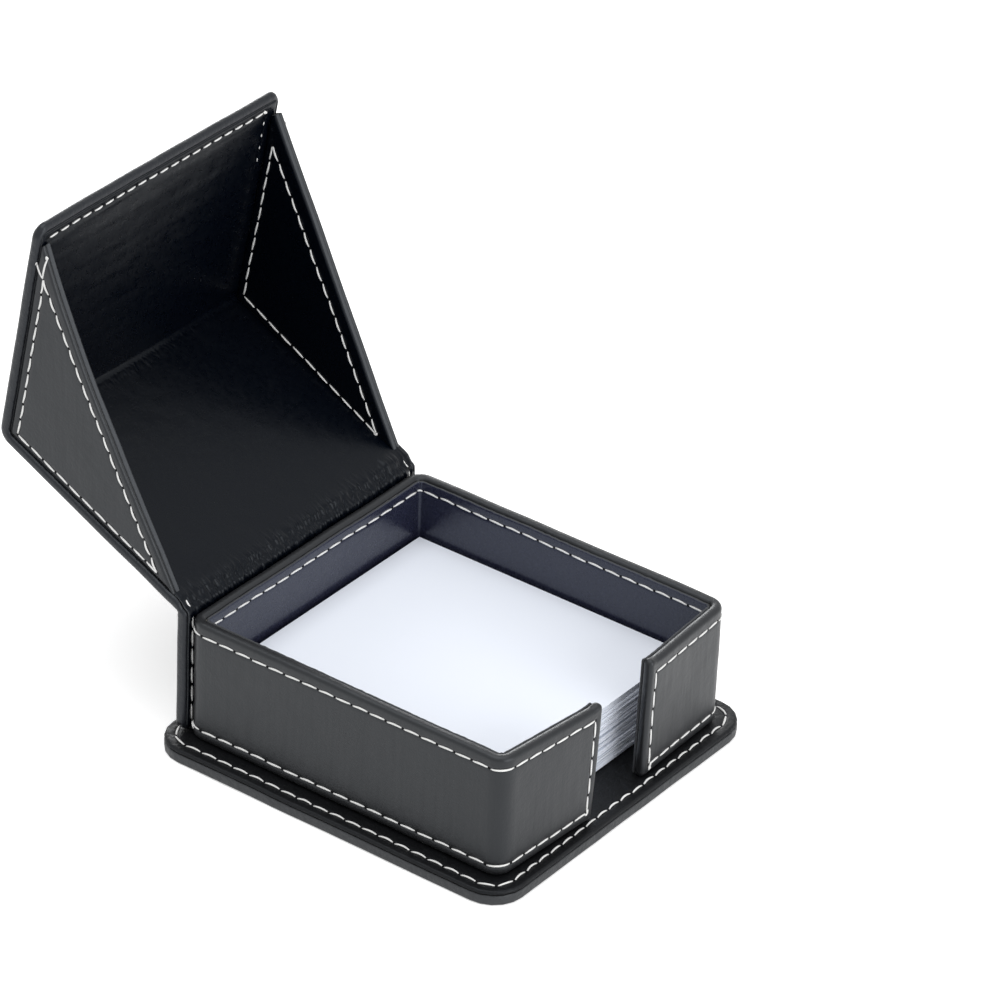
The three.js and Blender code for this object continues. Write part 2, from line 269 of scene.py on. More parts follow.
# Places read from the solids
BASE_LOW = low("base_outer_cover")
BASE_HIGH = high("base_top_sheet")
COVER_TOP = high("base_outer_cover").z
SHEET_FOOT = low("base_top_sheet").z
TRAY_SIDE = high("tray_right_board").x + TURNED
TRAY_FRONT = low("tray_left_board").y - TURNED
TRAY_REAR = high("tray_rear_board").y + TURNED
TRAY_FOOT = low("tray_rear_board").z - TURNED
RIM_TOP = high("tray_rear_board").z + TURNED
TRAY_HEIGHT = RIM_TOP - TRAY_FOOT
WALL = TRAY_SIDE - high("tray_lining").x + LINING
CUTOUT_HALF = low("tray_front_right_board").x - TURNED
PANEL_LOW = low("back_panel_cover")
PANEL_HIGH = high("back_panel_cover")
ROOF_SIDE = high("roof_outer_cover").x
PAPER_LOW = low("note_sheets")
PAPER_HIGH = high("note_sheets")
JOINT = frame["joints"][0]
HINGE = Vector(JOINT["pos_m"]).yz / MM
OPEN_ANGLE = math.radians(JOINT["range_deg"][1])
GABLE_OUTER = high("right_gable_cover").x
GABLE_INNER = low("right_gable_lining").x
GABLE_THICKNESS = GABLE_OUTER - GABLE_INNER


# Plane geometry

def smooth_step(low_end, high_end, value):
    share = min(max((value - low_end) / (high_end - low_end), 0), 1)
    return share * share * (3 - 2 * share)


def left_of(direction):
    return Vector((-direction.y, direction.x))


def crossing(point_a, along_a, point_b, along_b):
    """Where two lines meet, each given by a point and a direction."""
    share = (point_b - point_a).cross(along_b) / along_a.cross(along_b)
    return point_a + along_a * share


def swing(point):
    """Point of the closed roof, from the hinge axis, in its open rest place."""
    return HINGE + Matrix.Rotation(-OPEN_ANGLE, 2) @ Vector(point)


class Outline:
    """A line of straight runs and round bends, with the distance along it as its measure."""

    def __init__(self, corners, radii):
        self.marks = []
        self.runs = []
        position = 0
        place = corners[0]
        for index in range(1, len(corners)):
            direction = (corners[index] - corners[index - 1]).normalized()
            turn = 0
            cut = 0
            if index < len(corners) - 1:
                ahead = (corners[index + 1] - corners[index]).normalized()
                turn = math.atan2(direction.cross(ahead), direction.dot(ahead))
                cut = radii[index] * math.tan(abs(turn) / 2)
            length = ((corners[index] - place) @ direction) - cut
            self.runs.append((position, length, place, direction, 0))
            position += length
            self.marks.append(position)
            if turn:
                radius = math.copysign(radii[index], turn)
                length = turn * radius
                bend_start = place + direction * (position - self.runs[-1][0])
                self.runs.append((position, length, bend_start, direction, radius))
                position += length
                self.marks.append(position)
                place = corners[index] + ahead * cut
        self.length = position

    def at(self, along, depth):
        """Point at a distance along and a depth to the left."""
        for position, length, place, direction, radius in self.runs:
            if along <= position + length:
                break
        if not radius:
            return place + direction * (along - position) + left_of(direction) * depth
        heading = Matrix.Rotation((along - position) / radius, 2) @ direction
        return place + left_of(direction) * radius + left_of(heading) * (depth - radius)


# Unevenness. Its seed is set, because noise_vector would otherwise differ from run to run

noise.seed_set(WOBBLE_SEED)


def wobble(point):
    """The point, moved by a slow unevenness that neighbouring pieces share."""
    moved = point + noise.noise_vector(point / WOBBLE_LENGTH) * WOBBLE
    moved.z = max(moved.z, 0)
    return moved


def drawn_out(u, v, length, width, seed):
    """Noise with cells of a length along u and a width along v."""
    return noise.noise(Vector((u / length, v / width, seed)))


def wave(u, v, seed):
    return WAVE * drawn_out(u, v, WAVE_LENGTH, WAVE_LENGTH, seed)


def bell(distance, width):
    return math.exp(-((distance / width) ** 2))


# Meshes

def add_object(name, points, faces, looks, body=None, smooth=True):
    """A welded mesh of points in millimetres, facing outwards. faces hold (corners, number of a look)."""
    mesh = bpy.data.meshes.new(name)
    mesh.from_pydata([point * MM for point in points], [], [corners for corners, _ in faces])
    mesh.polygons.foreach_set("material_index", [number for _, number in faces])
    for look in looks:
        mesh.materials.append(materials[look])
    mesh.polygons.foreach_set("use_smooth", [smooth] * len(faces))
    shell = bmesh.new()
    shell.from_mesh(mesh)
    bmesh.ops.remove_doubles(shell, verts=shell.verts, dist=WELD * MM)
    bmesh.ops.recalc_face_normals(shell, faces=shell.faces)
    shell.to_mesh(mesh)
    shell.free()
    piece = bpy.data.objects.new(name, mesh)
    bpy.context.scene.collection.objects.link(piece)
    if body:
        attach(piece, body)
    return piece


def ring_faces(first, rings, size, edge_rows=0):
    """Quads between rings of points that follow each other. The first few rows take the second look."""
    faces = []
    for row in range(rings - 1):
        start = first + row * size
        for index in range(size):
            after = (index + 1) % size
            corners = (start + index, start + after, start + size + after, start + size + index)
            faces.append((corners, int(row < edge_rows)))
    return faces


def cap(first, size):
    return tuple(range(first, first + size)), 0


def quarter(count):
    """Angles of a quarter turn, ends included."""
    return [math.pi / 2 * step / count for step in range(count + 1)]


def rounded(radius):
    """Section of an outer edge: (inset, share of the thickness, extra depth), up to the shown face."""
    return [
        (radius * (1 - math.cos(angle)), 0, radius * (1 - math.sin(angle)))
        for angle in quarter(ARC_STEPS)
    ]


def far_edge(radius, share, depth, count):
    """The same for the edge of a hidden face at a share and depth, up to the outline."""
    return [
        (radius * (1 - math.sin(angle)), share, depth - radius * (1 - math.cos(angle)))
        for angle in quarter(count)
    ]


def cover_edge():
    """Section of a turned edge, from the lip below the lining, round a roll, to the outer face."""
    lip = [(LIP_WIDTH, 1, -LIP_SINK), (INNER_EDGE_RADIUS, 1, -LIP_SINK)]
    return lip + far_edge(INNER_EDGE_RADIUS, 1, -ROLL_SINK, ARC_STEPS) + rounded(EDGE_RADIUS)


def cut_section(lap, thickness):
    """Section of a sheet's rough cut edge, with a strip of its hidden face as wide as the lap."""
    edge = [(inset, 0, thickness * share) for inset, share in zip(CUT_INSETS, CUT_SHARES)]
    return [(lap, 0, thickness), *edge]


def spaced(start, end, step):
    """Values from start to end, about a step apart, ends included."""
    count = max(1, round((end - start) / step))
    return [start + (end - start) * index / count for index in range(count + 1)]


def fine_near(start, end, step, rows, fine_step=FINE_STEP, reach=FINE_REACH):
    """Values from start to end, a step apart, with finer ones near each row or bend."""
    values = set(spaced(start, end, step))
    for row in rows:
        for value in spaced(row - reach, row + reach, fine_step):
            if start < value < end:
                values.add(value)
    kept = [start]
    for value in sorted(values):
        if value - kept[-1] > fine_step / 2:
            kept.append(value)
    kept[-1] = end
    return kept


class Panel:
    """A sheet of size (U, V). Rings follow a section round its outline, and a grid fills the rest."""

    def __init__(self, size, corner, u_lines, v_lines):
        self.size = size
        self.corner = corner
        self.u_lines = u_lines
        self.v_lines = v_lines

    def ring(self, inset):
        width, height = self.size
        radius = max(self.corner - inset, 0)
        centre = max(self.corner, inset)
        u_line = [min(max(u, inset), width - inset) for u in self.u_lines]
        v_line = [min(max(v, inset), height - inset) for v in self.v_lines]
        sides = [
            [(u, inset) for u in u_line],
            [(width - inset, v) for v in v_line],
            [(u, height - inset) for u in reversed(u_line)],
            [(inset, v) for v in reversed(v_line)],
        ]
        middles = [
            (width - centre, centre),
            (width - centre, height - centre),
            (centre, height - centre),
            (centre, centre),
        ]
        outline = []
        for index, (side, (u, v)) in enumerate(zip(sides, middles)):
            outline.extend(side)
            for step in range(1, CORNER_STEPS):
                angle = math.pi / 2 * (index - 1 + step / CORNER_STEPS)
                outline.append((u + radius * math.cos(angle), v + radius * math.sin(angle)))
        return outline

    def build(self, name, section, place, relief, looks, body=None, edge_rows=0):
        """place(u, v, share, depth) gives a point. relief(u, v) is the dent in the shown face."""
        points = []
        for inset, share, extra in section:
            for u, v in self.ring(inset):
                points.append(place(u, v, share, extra + relief(u, v) * (1 - share)))
        size = len(points) // len(section)
        faces = ring_faces(0, len(section), size, edge_rows)
        first = len(points)
        across = len(self.u_lines)
        for v in self.v_lines:
            for u in self.u_lines:
                points.append(place(u, v, 0, relief(u, v)))
        for row in range(len(self.v_lines) - 1):
            for column in range(across - 1):
                start = first + row * across + column
                faces.append(((start, start + 1, start + across + 1, start + across), 0))
        return add_object(name, points, faces, looks, body)


def groove(legs, u, v):
    """Dent of the stitched rows at a point of a sheet."""
    depth = 0
    spot = Vector((u, v))
    for start, end in legs:
        along = end - start
        share = min(max((spot - start).dot(along) / along.length_squared, 0), 1)
        depth = max(depth, GROOVE_DEPTH * bell((spot - start - along * share).length, GROOVE_WIDTH))
    return depth


def leg(u_start, v_start, u_end, v_end):
    return Vector((u_start, v_start)), Vector((u_end, v_end))


class Sewing:
    """Thread, with near-black pads of painted shade where it runs through the leather. place(u, v, height)
    is a point that far above a sheet.
    """

    def __init__(self, seed):
        self.chance = random.Random(seed)
        self.thread_points = []
        self.thread_faces = []
        self.hole_shade_points = []
        self.hole_shade_faces = []

    def tube(self, centres, ups):
        """A closed tube, flattened on the sheet and narrower at its ends."""
        first = len(self.thread_points)
        count = len(centres)
        for index, centre in enumerate(centres):
            along = (centres[min(index + 1, count - 1)] - centres[max(index - 1, 0)]).normalized()
            side = along.cross(ups[index]).normalized()
            up = side.cross(along)
            swell = THREAD_END_SHARE + (1 - THREAD_END_SHARE) * math.sin(math.pi * (index + 0.5) / count)
            for corner in range(THREAD_SIDES):
                angle = math.tau * corner / THREAD_SIDES
                across = side * (THREAD_HALF_WIDTH * math.cos(angle))
                rise = up * (THREAD_HALF_HEIGHT * math.sin(angle))
                self.thread_points.append(centre + (across + rise) * swell)
        self.thread_faces += ring_faces(first, count, THREAD_SIDES)
        self.thread_faces.append(cap(first, THREAD_SIDES))
        self.thread_faces.append(cap(first + (count - 1) * THREAD_SIDES, THREAD_SIDES))

    def hole(self, centre, along, up):
        """A near-black pad of painted shade where the thread dips into the leather."""
        first = len(self.hole_shade_points)
        side = along.cross(up)
        for ring in range(HOLE_RINGS):
            rise = math.pi / 2 * ring / HOLE_RINGS
            for corner in range(THREAD_SIDES):
                angle = math.tau * corner / THREAD_SIDES
                spoke = (side * math.cos(angle) + along * math.sin(angle)) * (HOLE_RADIUS * math.cos(rise))
                self.hole_shade_points.append(centre + spoke + up * (HOLE_HEIGHT * math.sin(rise)))
        self.hole_shade_faces += ring_faces(first, HOLE_RINGS, THREAD_SIDES)
        self.hole_shade_faces.append(cap(first + (HOLE_RINGS - 1) * THREAD_SIDES, THREAD_SIDES))

    def stitch(self, place, start, end, bow=THREAD_BOW):
        """One stretch of thread between two spots of a sheet, bowed to the left."""
        aside = left_of((end - start).normalized())
        centres = []
        ups = []
        for section in range(THREAD_SECTIONS):
            share = section / (THREAD_SECTIONS - 1)
            arch = math.sin(math.pi * share)
            spot = start.lerp(end, share) + aside * (bow * arch + THREAD_SLANT * (2 * share - 1))
            centres.append(place(*spot, THREAD_RISE * arch ** 0.5 - GROOVE_DEPTH))
            ups.append((place(*spot, 1) - place(*spot, 0)).normalized())
        self.tube(centres, ups)

    def row(self, legs, place, pitch=STITCH_PITCH, bow=THREAD_BOW, thread_share=THREAD_SHARE):
        """Stitches, and a pad of painted shade at each stitch hole, along each leg, evenly spread over its
        length.
        """
        for start, end in legs:
            length = (end - start).length
            aside = left_of((end - start) / length)
            count = max(1, round(length / pitch))
            gap = (1 - thread_share) / 2
            for number in range(count):
                bulge = bow * self.chance.uniform(*BOW_SHARES)
                slip = aside * self.chance.uniform(-THREAD_SLIP, THREAD_SLIP)
                first = start.lerp(end, (number + gap) / count)
                last = start.lerp(end, (number + 1 - gap) / count)
                self.stitch(place, first + slip, last + slip, bulge)
            step = (end - start) / length * HOLE_RADIUS
            for number in range(count + 1):
                spot = start.lerp(end, number / count)
                before = spot - step * (number > 0)
                after = spot + step * (number < count)
                direction = (place(*after, 0) - place(*before, 0)).normalized()
                up = (place(*spot, 1) - place(*spot, 0)).normalized()
                self.hole(place(*spot, -GROOVE_DEPTH), direction, up)

    def knot(self, place, u, v, size=KNOT_REACH):
        """A few short curls of thread end."""
        up = (place(u, v, 1) - place(u, v, 0)).normalized()
        for _ in range(KNOT_LOOPS):
            heading = self.chance.uniform(0, math.tau)
            curl = self.chance.uniform(-KNOT_CURL, KNOT_CURL)
            reach = size * self.chance.uniform(*KNOT_SHARES)
            centres = []
            for section in range(THREAD_SECTIONS):
                share = section / (THREAD_SECTIONS - 1)
                angle = heading + curl * share
                rise = THREAD_RISE * (0.5 + math.sin(math.pi * share))
                centres.append(place(
                    u + reach * share * math.cos(angle),
                    v + reach * share * math.sin(angle),
                    rise - GROOVE_DEPTH / 2,
                ))
            self.tube(centres, [up] * THREAD_SECTIONS)

    def finish(self, name, body=None):
        hole_shades = f"{name}_holes"
        return (
            add_object(name, self.thread_points, self.thread_faces, ["thread"], body),
            add_object(hole_shades, self.hole_shade_points, self.hole_shade_faces, ["stitch_hole_shade"], body),
        )


# Materials

COOL_SHEEN = (0.88, 0.94, 1, 1)
EVEN = (1, 1, 1)
UPRIGHT = (1, 1, 0.06)
GRAIN_DETAIL = 3
GRAIN_ROUGHNESS = 0.6
GRAIN_DISTORTION = 0.6
NOISE_RANGE = (0.3, 0.7)
ROUGHNESS_SPREAD = (-0.05, 0.06)

# Broad waves and streaks of a leather, against its grain: (share of the scale, share of the height)
WAVES_SHARES = (0.25, 1.5)
STREAKS_SHARES = (0.5, 0.6)

# Colour, roughness, specular level, scale and height of the grain, and stretch of the streaks
LEATHERS = {
    "black_leather": ((0.011, 0.0113, 0.0125), 0.38, 0.41, 1400, 0.045, UPRIGHT),
    "base_leather": ((0.02, 0.02, 0.021), 0.5, 0.5, 1100, 0.2, EVEN),
    "base_top_leather": ((0.005, 0.0052, 0.006), 0.42, 0.2, 1200, 0.1, EVEN),
    "roof_leather": ((0.008, 0.0088, 0.0115), 0.34, 0.35, 1400, 0.09, EVEN),
    "navy_lining": ((0.015, 0.0165, 0.034), 0.27, 0.54, 1200, 0.02, EVEN),
    # The lid lining is near-black leather darkened further as painted shade for the inside of the lid and
    # gables, with a lowered specular level
    "shade_darkened_lining": ((0.0005, 0.0013, 0.0034), 0.3, 0.17, 1300, 0.02, EVEN),
    "cut_edge": ((0.062, 0.066, 0.072), 0.8, 0.3, 1100, 0.16, EVEN),
    "rim_edge": ((0.05, 0.052, 0.056), 0.8, 0.3, 1100, 0.16, EVEN),
}

# Colour, roughness, specular level, scale and height of the grain. A stitch hole has no grain
PLAIN = {
    "thread": ((0.83, 0.83, 0.82), 0.6, 0.5, 2600, 0.05),
    "paper": ((0.84, 0.88, 0.96), 0.75, 0.3, 900, 0.01),
}
# The pad at each stitch hole is painted shade: colour, roughness and specular level
HOLE_SHADE_LOOK = ((0.003, 0.003, 0.004), 0.8, 0.2)


def new_material(name, colour, roughness, specular):
    material = bpy.data.materials.new(name)
    material.use_nodes = True
    shader = material.node_tree.nodes["Principled BSDF"]
    shader.inputs["Base Color"].default_value = (*colour, 1)
    shader.inputs["Roughness"].default_value = roughness
    shader.inputs["Specular IOR Level"].default_value = specular
    return material, shader


def noise_node(tree, scale, stretch=EVEN, detail=2, roughness=0.5, distortion=0):
    place = tree.nodes.new("ShaderNodeTexCoord")
    mapping = tree.nodes.new("ShaderNodeMapping")
    mapping.inputs["Scale"].default_value = stretch
    tree.links.new(place.outputs["Object"], mapping.inputs["Vector"])
    texture = tree.nodes.new("ShaderNodeTexNoise")
    texture.inputs["Scale"].default_value = scale
    texture.inputs["Detail"].default_value = detail
    texture.inputs["Roughness"].default_value = roughness
    texture.inputs["Distortion"].default_value = distortion
    tree.links.new(mapping.outputs["Vector"], texture.inputs["Vector"])
    return texture


def add_bump(tree, shader, texture, height, before=None):
    bump = tree.nodes.new("ShaderNodeBump")
    bump.inputs["Strength"].default_value = 1
    bump.inputs["Distance"].default_value = height * MM
    tree.links.new(texture.outputs[0], bump.inputs["Height"])
    if before:
        tree.links.new(before.outputs["Normal"], bump.inputs["Normal"])
    tree.links.new(bump.outputs["Normal"], shader.inputs["Normal"])
    return bump


def vary(tree, texture, socket, least, most):
    """The texture spreads a value between two limits."""
    spread = tree.nodes.new("ShaderNodeMapRange")
    spread.inputs["From Min"].default_value = NOISE_RANGE[0]
    spread.inputs["From Max"].default_value = NOISE_RANGE[1]
    spread.inputs["To Min"].default_value = least
    spread.inputs["To Max"].default_value = most
    tree.links.new(texture.outputs[0], spread.inputs["Value"])
    tree.links.new(spread.outputs["Result"], socket)


def leather_material(name, colour, roughness, specular, grain_scale, grain_height, streaks):
    material, shader = new_material(name, colour, roughness, specular)
    shader.inputs["Specular Tint"].default_value = COOL_SHEEN
    tree = material.node_tree
    grain = noise_node(
        tree, grain_scale, detail=GRAIN_DETAIL, roughness=GRAIN_ROUGHNESS, distortion=GRAIN_DISTORTION,
    )
    bump = add_bump(tree, shader, grain, grain_height)
    scale_share, height_share = WAVES_SHARES
    waves = noise_node(tree, grain_scale * scale_share)
    bump = add_bump(tree, shader, waves, grain_height * height_share, bump)
    scale_share, height_share = STREAKS_SHARES
    streak = noise_node(tree, grain_scale * scale_share, streaks, GRAIN_DETAIL)
    add_bump(tree, shader, streak, grain_height * height_share, bump)
    least, most = (roughness + spread for spread in ROUGHNESS_SPREAD)
    vary(tree, streak, shader.inputs["Roughness"], least, most)
    return material


def plain_material(name, colour, roughness, specular, scale, height):
    material, shader = new_material(name, colour, roughness, specular)
    add_bump(material.node_tree, shader, noise_node(material.node_tree, scale), height)
    return material


materials = {name: leather_material(name, *looks) for name, looks in LEATHERS.items()}
materials |= {name: plain_material(name, *looks) for name, looks in PLAIN.items()}
# Near-black painted shade for the pad at each stitch hole
materials["stitch_hole_shade"], _ = new_material("stitch_hole_shade", *HOLE_SHADE_LOOK)


# Base: leather turned up from below, and a top sheet stitched on

BASE_SIZE = (BASE_HIGH.x - BASE_LOW.x, BASE_HIGH.y - BASE_LOW.y)


def base_point(u, v, z):
    return wobble(Vector((BASE_LOW.x + u, BASE_LOW.y + v, z)))


def base_inset(u, v):
    """How far a point of the base lies in from its outline."""
    to_side = min(u, BASE_SIZE[0] - u)
    to_end = min(v, BASE_SIZE[1] - v)
    if to_side < BASE_CORNER and to_end < BASE_CORNER:
        return BASE_CORNER - math.hypot(BASE_CORNER - to_side, BASE_CORNER - to_end)
    return min(to_side, to_end)


def base_relief(u, v):
    return wave(u, v, seed=1) + GROOVE_DEPTH * bell(base_inset(u, v) - BASE_STITCH, GROOVE_WIDTH)


def seam_edge(thickness):
    """Section round the seam between the two leathers, up to the shown face."""
    seam = [(BASE_SEAM_DEPTH, 0, thickness)]
    seam += far_edge(BASE_SEAM_RADIUS, 0, thickness, SEAM_ARC_STEPS)
    return seam + rounded(BASE_EDGE_RADIUS)


def add_base():
    lines = [spaced(BASE_CORNER, side - BASE_CORNER, GRID_STEP) for side in BASE_SIZE]
    sheet = Panel(BASE_SIZE, BASE_CORNER, *lines)
    rings = fine_near(BASE_EDGE_RADIUS + GLUE, BASE_CORNER, BASE_RING_STEP, [BASE_STITCH])
    top = sheet.build(
        "base_top_leather", seam_edge(BASE_HIGH.z - SHEET_FOOT) + [(inset, 0, 0) for inset in rings],
        lambda u, v, share, depth: base_point(u, v, BASE_HIGH.z - depth),
        base_relief, ["base_top_leather"], "box",
    )
    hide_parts("base_top_sheet")
    under = sheet.build(
        "base_under_leather", seam_edge(COVER_TOP) + [(BASE_CORNER, 0, 0)],
        lambda u, v, share, depth: base_point(u, v, depth),
        lambda u, v: 0, ["base_leather"], "box",
    )
    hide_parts("base_outer_cover")
    middle = (BASE_LOW.x + BASE_HIGH.x) / 2
    corners = [
        Vector((middle, BASE_LOW.y)),
        Vector((BASE_HIGH.x, BASE_LOW.y)),
        Vector((BASE_HIGH.x, BASE_HIGH.y)),
        Vector((BASE_LOW.x, BASE_HIGH.y)),
        Vector((BASE_LOW.x, BASE_LOW.y)),
        Vector((middle, BASE_LOW.y)),
    ]
    loop = Outline(corners, [BASE_CORNER] * len(corners))

    def on_top(s, inset, height):
        return wobble(loop.at(s, inset).to_3d() + Vector((0, 0, BASE_HIGH.z + height)))

    # The row runs inside the outline, so its bends are shorter than the outline's
    squeeze = BASE_CORNER / (BASE_CORNER - BASE_STITCH)
    sewing = Sewing(seed=2)
    start = 0
    for number, mark in enumerate(loop.marks):
        bent = number % 2 == 1
        pitch = BASE_PITCH * (squeeze if bent else 1)
        sewing.row([leg(start, BASE_STITCH, mark, BASE_STITCH)], on_top, pitch)
        start = mark
    sewing.finish("base_thread", "box")


# Tray: walls that run from the right flap, round the four corners, to the left flap

WALL_CORNERS = [
    Vector((CUTOUT_HALF, TRAY_FRONT)),
    Vector((TRAY_SIDE, TRAY_FRONT)),
    Vector((TRAY_SIDE, TRAY_REAR)),
    Vector((-TRAY_SIDE, TRAY_REAR)),
    Vector((-TRAY_SIDE, TRAY_FRONT)),
    Vector((-CUTOUT_HALF, TRAY_FRONT)),
]
WALL_LINE = Outline(WALL_CORNERS, [TRAY_CORNER] * len(WALL_CORNERS))
TRAY_LENGTH = WALL_LINE.length
FLAP_ROOT = TRAY_SIDE - TRAY_CORNER


def tray_point(s, v, depth):
    """Point at a distance along the wall, a height above its foot and a depth in from its outer face."""
    plan = WALL_LINE.at(s, depth)
    if plan.y < TRAY_FRONT + TRAY_CORNER and abs(plan.x) < FLAP_ROOT:
        foot, top = LEFT_SPREAD if plan.x < 0 else RIGHT_SPREAD
        spread = foot + (top - foot) * v / TRAY_HEIGHT
        plan.y -= spread * (FLAP_ROOT - abs(plan.x)) / (FLAP_ROOT - CUTOUT_HALF)
    tip = 1 - smooth_step(0, FLAP_TIP_REACH, min(s, TRAY_LENGTH - s))
    v += FLAP_TIP_RISE * (v / TRAY_HEIGHT) ** FLAP_TIP_POWER * tip
    return wobble(Vector((plan.x, plan.y, TRAY_FOOT + v)))


def tray_legs(low_row, high_row):
    """Stitched rows of the tray: the rim, the foot and both flap ends."""
    start = FLAP_STITCH
    end = TRAY_LENGTH - FLAP_STITCH
    marks = [start, *WALL_LINE.marks[:-1], end]
    legs = []
    for before, after in zip(marks, marks[1:]):
        for row in (high_row, low_row):
            legs.append(leg(before, row, after, row))
    for side in (start, end):
        legs.append(leg(side, low_row, side, high_row))
    return legs


def add_tray():
    rim_row = TRAY_HEIGHT - RIM_STITCH
    legs = tray_legs(FOOT_STITCH, rim_row)
    ends = (FLAP_STITCH, TRAY_LENGTH - FLAP_STITCH)
    corner = TRAY_SHEET_CORNER
    cover_depth = WALL - LINING - GLUE
    section = [(TRAY_TURN_IN, 0, cover_depth)]
    section += far_edge(TRAY_INNER_EDGE_RADIUS, 0, cover_depth, RIM_ARC_STEPS)
    section += rounded(TRAY_EDGE_RADIUS) + [(corner, 0, 0)]
    cover = Panel(
        (TRAY_LENGTH, TRAY_HEIGHT), corner,
        fine_near(corner, TRAY_LENGTH - corner, GRID_STEP, ends),
        fine_near(corner, TRAY_HEIGHT - corner, GRID_STEP, (FOOT_STITCH, rim_row)),
    ).build(
        "tray_leather", section,
        lambda s, v, share, depth: tray_point(s, v, depth),
        lambda s, v: wave(s, v, seed=2) + groove(legs, s, v),
        ["black_leather"], "box",
    )
    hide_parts("tray_outer_cover")

    bends = [
        (before + after) / 2
        for before, after in zip(WALL_LINE.marks[0:-1:2], WALL_LINE.marks[1::2])
    ]

    def lining_relief(s, v):
        fold = max(bell(s + LINING_DROP - bend, PUCKER_WIDTH) for bend in bends)
        fold *= smooth_step(TRAY_HEIGHT - PUCKER_REACH, TRAY_HEIGHT - RIM_STITCH / 2, v)
        return wave(s, v, seed=5) + groove(legs, s, v) - PUCKER_HEIGHT * fold

    size = (TRAY_LENGTH - 2 * LINING_DROP, TRAY_HEIGHT - LINING_DROP)

    def ragged(s, v, share, depth):
        shift = 0
        if v > size[1] - LINING:
            shift = RAGGED * noise.noise(Vector((s * RAGGED_RATE, v * RAGGED_RATE, 5)))
        return tray_point(s + LINING_DROP, min(v + shift, TRAY_HEIGHT), WALL - depth)

    inner = Panel(
        size, LINING,
        fine_near(LINING, size[0] - LINING, GRID_STEP, (*ends, *bends), PUCKER_STEP),
        fine_near(LINING, size[1] - LINING, GRID_STEP, (FOOT_STITCH, rim_row)),
    ).build(
        "tray_inner_lining", cut_section(TRAY_LINING_LAP, LINING + TRAY_LINING_SINK) + [(LINING, 0, 0)],
        ragged, lining_relief, ["navy_lining", "rim_edge"], "box", CUT_ROWS,
    )
    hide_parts("tray_lining")

    def outside(s, v, height):
        return tray_point(s, v, -height)

    sewing = Sewing(seed=3)
    sewing.row(legs, outside)
    sewing.row(legs, lambda s, v, height: tray_point(s, v, WALL + height))
    sewing.knot(outside, FLAP_STITCH, FOOT_STITCH - KNOT_DROP, LONG_KNOT_REACH)
    sewing.knot(outside, TRAY_LENGTH - FLAP_STITCH, FOOT_STITCH)
    rear_left = bends[2]
    sewing.knot(outside, rear_left, FOOT_STITCH + KNOT_REACH / 2, LONG_KNOT_REACH)
    sewing.finish("tray_thread", "box")


# Back panel, hinge and roof: one leather from the foot of the panel over hinge and ridge to the eave

RIDGE = Vector(((TRAY_FRONT + TRAY_REAR) / 2 - HINGE.x, RIDGE_RISE))
EAVE = Vector((TRAY_FRONT - EAVE_OVERHANG - HINGE.x, EAVE_LIFT))
REAR_SLOPE = RIDGE.normalized()
FRONT_SLOPE = (EAVE - RIDGE).normalized()
UP = Vector((0, 1))


def ribbon_line(depth, panel_face, bend_radius, ridge_radius):
    """Section of the leather in its rest place, at a depth below the outer face of the roof."""
    rear = swing(left_of(REAR_SLOPE) * depth)
    slope = swing(REAR_SLOPE) - HINGE
    eave = EAVE + left_of(FRONT_SLOPE) * depth
    ridge = crossing(left_of(REAR_SLOPE) * depth, REAR_SLOPE, eave, FRONT_SLOPE)
    foot = Vector((panel_face, PANEL_LOW.z))
    return Outline(
        [foot, crossing(foot, UP, rear, slope), swing(ridge), swing(eave)],
        [0, bend_radius, ridge_radius, 0],
    )


OUTER_LINE = ribbon_line(0, PANEL_HIGH.y, BEND_RADIUS, RIDGE_RADIUS)
INNER_LINE = ribbon_line(HINGE_LEATHER, PANEL_LOW.y, BEND_INNER_RADIUS, RIDGE_RADIUS - HINGE_LEATHER)
RIBBON_SIZE = (2 * ROOF_SIDE, OUTER_LINE.length)
BEND_START, BEND_END, RIDGE_START, RIDGE_END, RIBBON_END = OUTER_LINE.marks
BEND_MIDDLE = (BEND_START + BEND_END) / 2


def inner_distance(v):
    """Distance along the inner face, opposite a distance along the outer one."""
    outer_marks = [0, *OUTER_LINE.marks]
    inner_marks = [0, *INNER_LINE.marks]
    run = 0
    while run < len(outer_marks) - 2 and v > outer_marks[run + 1]:
        run += 1
    share = (v - outer_marks[run]) / (outer_marks[run + 1] - outer_marks[run])
    return inner_marks[run] + share * (inner_marks[run + 1] - inner_marks[run])


def ribbon_point(u, v, share, depth):
    """Point of the leather: share 0 is its outer face and share 1 its inner one, with depth inwards."""
    side_share = u / RIBBON_SIZE[0]
    v += EAVE_STRETCH * smooth_step(RIDGE_END, RIBBON_END, v) * side_share * (2 - side_share)
    if share:
        depth += (ROOF_THICKNESS - HINGE_LEATHER) * smooth_step(BEND_END, BEND_END + HINGE_FADE, v)
        plane = INNER_LINE.at(inner_distance(v), depth)
    else:
        plane = OUTER_LINE.at(v, depth)
    shift = LID_SHIFT * smooth_step(BEND_START - HINGE_FADE, BEND_END + HINGE_FADE, v)
    shift -= EAVE_NARROWING * smooth_step(RIDGE_END, RIBBON_END, v) * side_share
    return wobble(Vector((u - ROOF_SIDE + shift, plane.x, plane.y)))


def roof_cover_point(u, v, share, depth):
    """As ribbon_point, with a fat roll along the eave."""
    across = min(max(share + depth / ROOF_THICKNESS, 0), 1)
    near_eave = 1 - smooth_step(0, EDGE_RADIUS, RIBBON_END - v)
    bulge = EAVE_BULGE * (1 - (2 * across - 1) ** 2) * near_eave
    return ribbon_point(u, v + bulge, share, depth)


